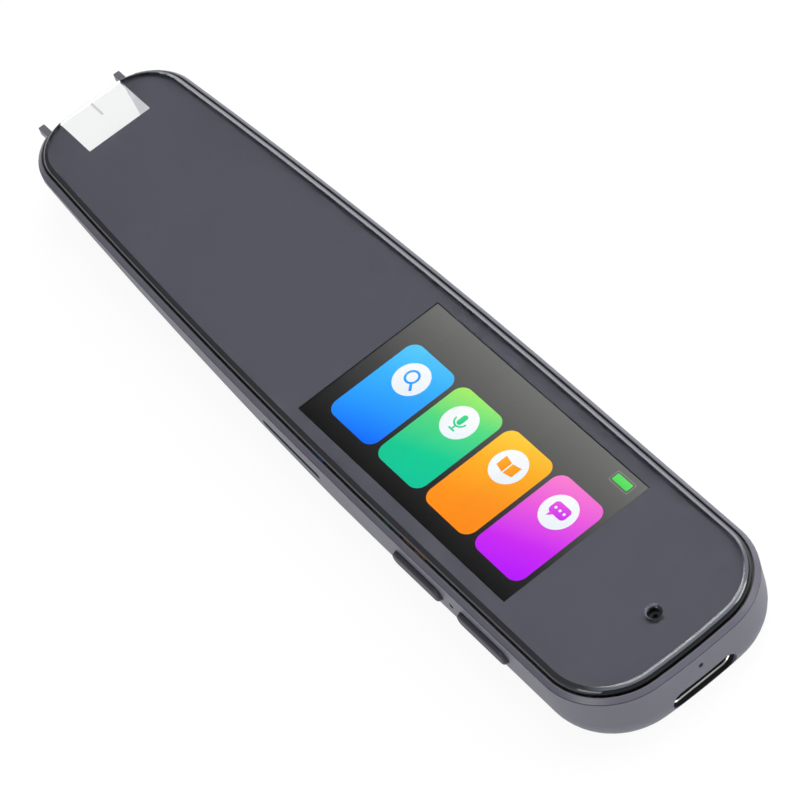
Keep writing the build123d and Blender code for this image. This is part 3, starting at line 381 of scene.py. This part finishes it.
# %% Hood, feet and buttons
# The hood's glow of 0.08 is painted light.
dress(grained("pale_abs_painted_glow", "#F8F9FD", "#F2F3F7", 0.45, 0.2, 0.001, glow=0.08), "scan_hood")
dress(grained("dark_acetal", "#5A5A62", "#54545C", 0.38, 0.15, 0.002), "nib_frame")
dress(grained("soft_touch_keycap_rubber", "#3C3A46", "#373540", 0.55, 0.15, 0.003),
      "upper_button", "lower_button")

# %% [markdown]
# The pieces that this script adds are all thin, and most are made alike: a flat outline is drawn
# and then raised into a plate. A last step, the same for all, makes a piece of the built mesh,
# gives it its material and lets it ride on the casing.

# %% Ways to make a piece
layer = 0.01


def finish_piece(build, name, material):
    """Makes a piece of the casing from a built mesh."""
    bmesh.ops.recalc_face_normals(build, faces=build.faces)
    mesh = bpy.data.meshes.new(name)
    build.to_mesh(mesh)
    build.free()
    mesh.materials.append(material)
    piece = bpy.data.objects.new(name, mesh)
    bpy.context.scene.collection.objects.link(piece)
    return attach(piece, "casing")


def raised_plate(name, corners, rise, material):
    """A plate made by raising a flat outline, both in millimetres."""
    build = bmesh.new()
    face = build.faces.new([build.verts.new((x * mm, y * mm, z * mm)) for x, y, z in corners])
    top = bmesh.ops.extrude_face_region(build, geom=[face])
    moved = [item for item in top["geom"] if isinstance(item, bmesh.types.BMVert)]
    bmesh.ops.translate(build, vec=[step * mm for step in rise], verts=moved)
    return finish_piece(build, name, material)


def thin_plate(name, outline, low, material):
    """A plate one layer thick that lies flat at a height."""
    return raised_plate(name, [(x, y, low) for x, y in outline], (0, 0, layer), material)


def rounded_box(x, y, width, length, radius, steps=8):
    """The outline of a box with round corners, about a centre."""
    points = []
    for turn, (side, end) in enumerate(((1, 1), (-1, 1), (-1, -1), (1, -1))):
        for step in range(steps + 1):
            angle = math.radians(90 * (turn + step / steps))
            points.append((x + side * (width / 2 - radius) + radius * math.cos(angle),
                           y + end * (length / 2 - radius) + radius * math.sin(angle)))
    return points


print("a box with round corners has", len(rounded_box(0, 0, 2, 1, 0.2)), "corners")

# %% [markdown]
# What glows takes its colour from a ramp that runs across the piece, and nothing from the lamps.
# The aiming line is frosted and pale. It is made to glow by itself, painted light that keeps it pale under
# the glass, a little greyer than the hood.

# %% Glowing colours and the aiming line
screen_light = 1.1


def glowing(name, colours, direction):
    """A lit picture whose colour runs through the given shades along a direction in its own box."""
    material, tree, output = new_material(name)
    place = add_node(tree, "ShaderNodeTexCoord")
    along = add_node(tree, "ShaderNodeVectorMath", {"operation": "DOT_PRODUCT", 1: (*direction, 0)},
                     {0: place.outputs["Generated"]})
    ramp = add_node(tree, "ShaderNodeValToRGB", {}, {"Fac": along.outputs["Value"]})
    stops = ramp.color_ramp.elements
    while len(stops) < len(colours):
        stops.new(0.5)
    for index, colour in enumerate(colours):
        stops[index].position = index / (len(colours) - 1)
        stops[index].color = linear(colour)
    shader = add_node(tree, "ShaderNodeBsdfPrincipled",
                      {"Base Color": linear("#000000"), "Roughness": 1.0, "Specular IOR Level": 0.0,
                       "Emission Strength": screen_light},
                      {"Emission Color": ramp.outputs["Color"]})
    tree.links.new(shader.outputs["BSDF"], output.inputs["Surface"])
    return material


# Painted light: the printed line glows instead of being lit through the glass.
aiming_line_painted_glow = glowing("frosted_aiming_line_painted_glow", ("#CDCED4", "#D3D4DA"), (0.5, 0.5))
print("line", lowered_print("aiming_mark", aiming_line_painted_glow).name)

# %% [markdown]
# The display shows four coloured cards and a battery symbol. On a real one this picture is light from behind,
# in a layer just under the glass. Here each shape is a thin plate on the panel, a hundredth of a millimetre
# thick, and glows by itself, so it looks the same from every side and can be redrawn with a few numbers.
# The wallpaper runs from near black at one long side to mid grey at the other.
# Each card runs from a deep shade to a light one, as the icons of a phone do.

# %% Display picture: wallpaper and cards
picture_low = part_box("lcd_panel")[1].z / mm
display_y = -22.35
active_width = 22.7
active_length = 42.7
thin_plate("display_wallpaper", rounded_box(0, display_y, active_width, active_length, 0.05, 1), picture_low,
           glowing("lit_wallpaper", ("#171717", "#2F2F2F", "#464646", "#5E5E5D", "#737371"), (1.0, 0.0)))

card_low_x = -8.9
card_high_x = 5.65
card_radius = 1.65
cards = {
    "blue": (-12.95, -3.6, ("#0C66FF", "#2898FF", "#3CB4FF", "#5CCEFA")),
    "green": (-22.9, -13.75, ("#14C49A", "#18CC94", "#58DC84", "#B0F468")),
    "orange": (-33.0, -23.75, ("#FF8A18", "#FF9420", "#FFB02A", "#FFD444")),
    "purple": (-42.9, -33.75, ("#B414FF", "#CC2CF4", "#EE5CE0", "#FF86D0")),
}
for colour, (low_y, high_y, shades) in cards.items():
    outline = rounded_box((card_low_x + card_high_x) / 2, (low_y + high_y) / 2,
                          card_high_x - card_low_x, high_y - low_y, card_radius)
    card_light = glowing(f"lit_{colour}_card", shades, (0.8, 0.2))
    thin_plate(f"{colour}_card", outline, picture_low + layer, card_light)
print("cards", len(cards))

# %% [markdown]
# On each card lies a pale disc with a plain sign in the card's own colour: a magnifier, a microphone,
# an open book and a speech bubble. The pen is read lying on its side, so up in the picture is +X
# and right is towards the port. One function turns a sign's own right and up into the pen's axes.

# %% Ways to draw a sign
sign_x = 1.45


def turned(points, y):
    """Points given as right and up in the picture, laid out on the pen about a place."""
    return [(sign_x + up, y - right) for right, up in points]


def arc(radius, start, end, right, up, steps):
    """Points along a part of a circle, between two angles in degrees."""
    angles = [math.radians(start + (end - start) * i / steps) for i in range(steps + 1)]
    return [(right + radius * math.cos(a), up + radius * math.sin(a)) for a in angles]


def disc(radius, right=0.0, up=0.0, steps=32):
    """The outline of a disc."""
    return arc(radius, 0, 360, right, up, steps)[:-1]


def arch(radius, width, start, end, right=0.0, up=0.0, steps=20):
    """The outline of a bent stroke between two angles in degrees."""
    outer = arc(radius + width / 2, start, end, right, up, steps)
    return outer + arc(radius - width / 2, start, end, right, up, steps)[::-1]


def stroke(right0, up0, right1, up1, width):
    """The outline of a straight stroke."""
    length = math.hypot(right1 - right0, up1 - up0)
    side_right = (up0 - up1) / length * width / 2
    side_up = (right1 - right0) / length * width / 2
    return [(right0 + side_right, up0 + side_up), (right0 - side_right, up0 - side_up),
            (right1 - side_right, up1 - side_up), (right1 + side_right, up1 + side_up)]


print("a disc has", len(disc(1)), "corners and an arch", len(arch(1, 0.3, 0, 180)))

# %% [markdown]
# A sign is made of a few such shapes, in millimetres from the middle of its disc.
# Disc, sign and dots lie one layer above each other, so no two of them share a height.

# %% Display picture: signs
disc_radius = 2.6
dot_radius = 0.2
dot_pitch = 0.8
dot_up = 0.25
signs = {
    "blue": [arch(0.95, 0.34, 0, 180, -0.25, 0.3), arch(0.95, 0.34, 180, 360, -0.25, 0.3),
             stroke(0.42, -0.38, 1.3, -1.28, 0.4)],
    "green": [rounded_box(0, 0.5, 0.86, 1.7, 0.42), arch(0.95, 0.26, 180, 360, 0, 0.35),
              stroke(0, -0.6, 0, -1.2, 0.26), stroke(-0.55, -1.3, 0.55, -1.3, 0.26)],
    "orange": [[(-1.5, 0.95), (-0.1, 0.65), (-0.1, -1.05), (-1.5, -0.75)],
               [(1.5, 0.95), (1.5, -0.75), (0.1, -1.05), (0.1, 0.65)]],
    "purple": [rounded_box(0, 0.25, 2.9, 1.9, 0.6), [(-0.9, -0.6), (-0.15, -0.6), (-0.9, -1.35)]],
}
pale_light = glowing("lit_pale_disc", ("#E9F2FA", "#F6F9FC", "#FFFFFF"), (0.6, 0.4))
for colour, (low_y, high_y, shades) in cards.items():
    middle_y = (low_y + high_y) / 2
    thin_plate(f"{colour}_disc", turned(disc(disc_radius), middle_y), picture_low + layer * 2, pale_light)
    sign_light = glowing(f"lit_{colour}_sign", shades[1:3], (0.5, 0.5))
    for index, shape in enumerate(signs[colour]):
        thin_plate(f"{colour}_sign_{index}", turned(shape, middle_y), picture_low + layer * 3, sign_light)
purple_y = (cards["purple"][0] + cards["purple"][1]) / 2
for index, right in enumerate((-dot_pitch, 0.0, dot_pitch)):
    thin_plate(f"purple_sign_dot_{index}", turned(disc(dot_radius, right, dot_up, 16), purple_y),
               picture_low + layer * 4, pale_light)
print("signs", sum(len(shapes) for shapes in signs.values()))

# %% [markdown]
# The battery symbol stands upright in the corner: a grey frame, the darker gap inside it and a green fill.

# %% Display picture: battery symbol
battery_x = 9.68
battery_y = -40.68
battery_parts = {
    "frame": (1.75, 3.5, 0.3, glowing("lit_grey_line", ("#8E928E", "#969A96"), (1.0, 0.0))),
    "gap": (1.55, 3.3, 0.25, glowing("lit_grey_gap", ("#62625F", "#6A6A67"), (1.0, 0.0))),
    "fill": (1.15, 2.85, 0.12, glowing("lit_green_fill", ("#58DC60", "#66E468"), (1.0, 0.0))),
}
for level, (part, (width, length, radius, light)) in enumerate(battery_parts.items(), 1):
    outline = rounded_box(battery_x, battery_y, width, length, radius)
    thin_plate(f"battery_sign_{part}", outline, picture_low + layer * level, light)
print("battery symbol of", len(battery_parts), "plates")

# %% [markdown]
# A frame of solids leaves out some small things. One is a black sheet in the speaker's slot, dressed as
# cloth.
# It is painted shade: a thin bar with round ends that stands just inside the wall, so the slot reads as
# black.

# %% Speaker slot: a black sheet of painted shade
arc_gap = 0.001
shade_cloth_x = -14.72
shade_cloth_length = 12.7
shade_cloth_height = 0.9
shade_cloth_thickness = 0.05

mesh_low, mesh_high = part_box("speaker_mesh")
shade_cloth_outline = rounded_box((mesh_low.y + mesh_high.y) / 2 / mm, (mesh_low.z + mesh_high.z) / 2 / mm,
                            shade_cloth_length, shade_cloth_height, shade_cloth_height / 2 - arc_gap)
# A black sheet put in the slot as painted shade.
raised_plate("speaker_slot_painted_shade", [(shade_cloth_x, y, z) for y, z in shade_cloth_outline], (shade_cloth_thickness, 0, 0),
             grained("black_cloth_painted_shade", "#08080A", "#101013", 0.9, 0.08, 0.02))
print("cloth", shade_cloth_length, "by", shade_cloth_height, "mm")

# %% [markdown]
# The port's opening is lined with a black sheet, painted shade, and in the lining stands the burnished lip of
# the sleeve.
# The lip gives the port its one bright line, with black above and below it: it is painted far lighter than
# the sleeve and glows a little, a painted highlight. Its wall thins out towards the front, where it catches
# the light from above.

# %% Port lining and lip
opening_width = 9.8
opening_height = 3.2
lining_reach = (1.15, 0.005)
lining_gap = 0.01
lining_wall = 0.04
lip_reach = (0.5, 0.34)
lip_gap = 0.06
lip_back_wall = 0.12

sleeve_front_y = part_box("port_shell")[0].y / mm
tongue_low, tongue_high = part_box("port_tongue")
port_z = (tongue_low.z + tongue_high.z) / 2 / mm


def port_tube(name, reach, gap, back_wall, material):
    """A tube in the port's opening, between two distances before the sleeve, with a gap to the casing."""
    front, back = reach
    width = opening_width - gap * 2
    height = opening_height - gap * 2
    build = bmesh.new()
    rings = []
    for before, wall in ((front, 0), (back, 0), (back, back_wall), (front, lining_wall)):
        outline = rounded_box(0, port_z, width - wall * 2, height - wall * 2, height / 2 - wall - arc_gap)
        rings.append([build.verts.new((x * mm, (sleeve_front_y - before) * mm, z * mm)) for x, z in outline])
    for ring, after in zip(rings, rings[1:] + rings[:1]):
        for i in range(len(ring)):
            build.faces.new((ring[i - 1], ring[i], after[i], after[i - 1]))
    return finish_piece(build, name, material)


# The black lining is painted shade in the port's mouth.
port_tube("port_lining", lining_reach, lining_gap, lining_wall,
          grained("black_lining_painted_shade", "#060607", "#09090A", 0.8, 0.2, 0.002))
# The lip's light colour and glow are a painted highlight.
port_tube("port_lip", lip_reach, lip_gap, lip_back_wall,
          grained("nickel_lip_painted_highlight", "#E6E4DE", "#DCDAD4", 0.35, 0.5, 0.0005, metallic=1.0, glow=0.12))
print("port lined at a height of", round(port_z, 2), "mm")

# %% [markdown]
# On the tongue lie the contacts, eight on each face, in hard gold that doesn't tarnish.

# %% Port contacts
contact_count = 8
contact_pitch = 0.72
contact_width = 0.32
contact_length = 1.6
contact_corner = 0.05
contact_y = tongue_low.y / mm + contact_length

gold = grained("hard_gold_plate", "#C9A24A", "#BD9642", 0.25, 0.3, 0.0005, metallic=1.0)
for index in range(contact_count):
    contact_x = (index - (contact_count - 1) / 2) * contact_pitch
    outline = rounded_box(contact_x, contact_y, contact_width, contact_length, contact_corner, 2)
    for face_z, face_name in ((tongue_high.z / mm, "upper"), (tongue_low.z / mm - layer, "lower")):
        thin_plate(f"port_contact_{face_name}_{index}", outline, face_z, gold)
print("contacts", contact_count * 2)

# %% [markdown]
# The studio is a pale floor under broad soft light, as for a catalogue picture.
# The floor is pale paper that catches the pen's shadow. To the camera, and in metal and glass, most of it
# is simply white, so only a soft trace of that shadow is left.
# It lies a twentieth of a millimetre under the pen, so that the two faces never touch.

# %% Floor
floor_reach = 3.0
floor_drop = 0.05
white_share = 0.93

floor_mesh = bpy.data.meshes.new("studio_floor")
floor_mesh.from_pydata([(x * floor_reach, y * floor_reach, -floor_drop * mm)
                        for x, y in ((-1, -1), (1, -1), (1, 1), (-1, 1))], [], [(0, 1, 2, 3)])
floor = bpy.data.objects.new("studio_floor", floor_mesh)
bpy.context.scene.collection.objects.link(floor)
floor_material, tree, output = new_material("white_paper_sweep")
rays = add_node(tree, "ShaderNodeLightPath")
seen = add_node(tree, "ShaderNodeMath", {"operation": "MAXIMUM"},
                {0: rays.outputs["Is Camera Ray"], 1: rays.outputs["Is Glossy Ray"]})
seen = add_node(tree, "ShaderNodeMath", {"operation": "MAXIMUM"},
                {0: seen.outputs["Value"], 1: rays.outputs["Is Transmission Ray"]})
share = add_node(tree, "ShaderNodeMath", {"operation": "MULTIPLY", 1: white_share},
                 {0: seen.outputs["Value"]})
paper = add_node(tree, "ShaderNodeBsdfDiffuse", {"Color": linear("#F4F4F4")})
white = add_node(tree, "ShaderNodeEmission", {"Color": linear("#FFFFFF"), "Strength": 1.0})
blend = add_node(tree, "ShaderNodeMixShader", {}, {0: share.outputs["Value"], 1: paper.outputs["BSDF"],
                                                   2: white.outputs["Emission"]})
tree.links.new(blend.outputs["Shader"], output.inputs["Surface"])
floor_mesh.materials.append(floor_material)
print("floor", floor_reach * 2, "m wide")

# %% [markdown]
# Large lamps make the long soft reflections that show the rolled edge of the glass.
# Each stands about a metre off and points at the pen: its place, width and length are in metres,
# its power in watts.

# %% Lamps
lamps = {
    "overhead_softbox": ((0.23, 0.05, 0.96), 0.5, 0.74, 7.5),
    "right_softbox": ((0.75, 0.62, 0.42), 0.8, 0.55, 4.2),
    "left_softbox": ((-0.9, -0.35, 0.35), 0.5, 0.4, 2.8),
    "front_softbox": ((0.78, -0.5, 0.62), 0.5, 0.4, 5.5),
}
for name, (lamp_place, width, length, power) in lamps.items():
    data = bpy.data.lights.new(name, "AREA")
    data.shape = "RECTANGLE"
    data.size = width
    data.size_y = length
    data.energy = power
    lamp = bpy.data.objects.new(name, data)
    bpy.context.scene.collection.objects.link(lamp)
    lamp.location = lamp_place
    lamp.rotation_mode = "QUATERNION"
    lamp.rotation_quaternion = (-Vector(lamp_place)).to_track_quat("-Z", "Y")
print("lamps", len(lamps))

# %% [markdown]
# The sky is even and dim, with a dark patch where the flat glass would mirror it, as a black flag does
# in a studio, so the display keeps its depth. The camera itself sees white in its place.

# %% Sky
sky_level = 0.45
flag_level = 0.05
flag_direction = (-0.35, 0.62, 0.7)
flag_from = 0.62
flag_to = 0.8

world = bpy.data.worlds.new("studio_sky")
world.use_nodes = True
bpy.context.scene.world = world
tree = world.node_tree
tree.nodes.clear()
rays = add_node(tree, "ShaderNodeLightPath")
place = add_node(tree, "ShaderNodeTexCoord")
flagged = add_node(tree, "ShaderNodeVectorMath", {"operation": "DOT_PRODUCT", 1: flag_direction},
                   {0: place.outputs["Generated"]})
level = add_node(tree, "ShaderNodeMapRange",
                 {"interpolation_type": "SMOOTHSTEP", "From Min": flag_from, "From Max": flag_to,
                  "To Min": sky_level, "To Max": flag_level},
                 {"Value": flagged.outputs["Value"]})
sky = add_node(tree, "ShaderNodeBackground", {"Color": linear("#F6F7FA")},
               {"Strength": level.outputs["Result"]})
backdrop = add_node(tree, "ShaderNodeBackground", {"Color": linear("#FFFFFF"), "Strength": 1.0})
blend = add_node(tree, "ShaderNodeMixShader", {},
                 {0: rays.outputs["Is Camera Ray"], 1: sky.outputs["Background"],
                  2: backdrop.outputs["Background"]})
add_node(tree, "ShaderNodeOutputWorld", {}, {"Surface": blend.outputs["Shader"]})
bpy.context.scene.view_settings.view_transform = "Standard"
print("sky from", sky_level, "down to", flag_level)
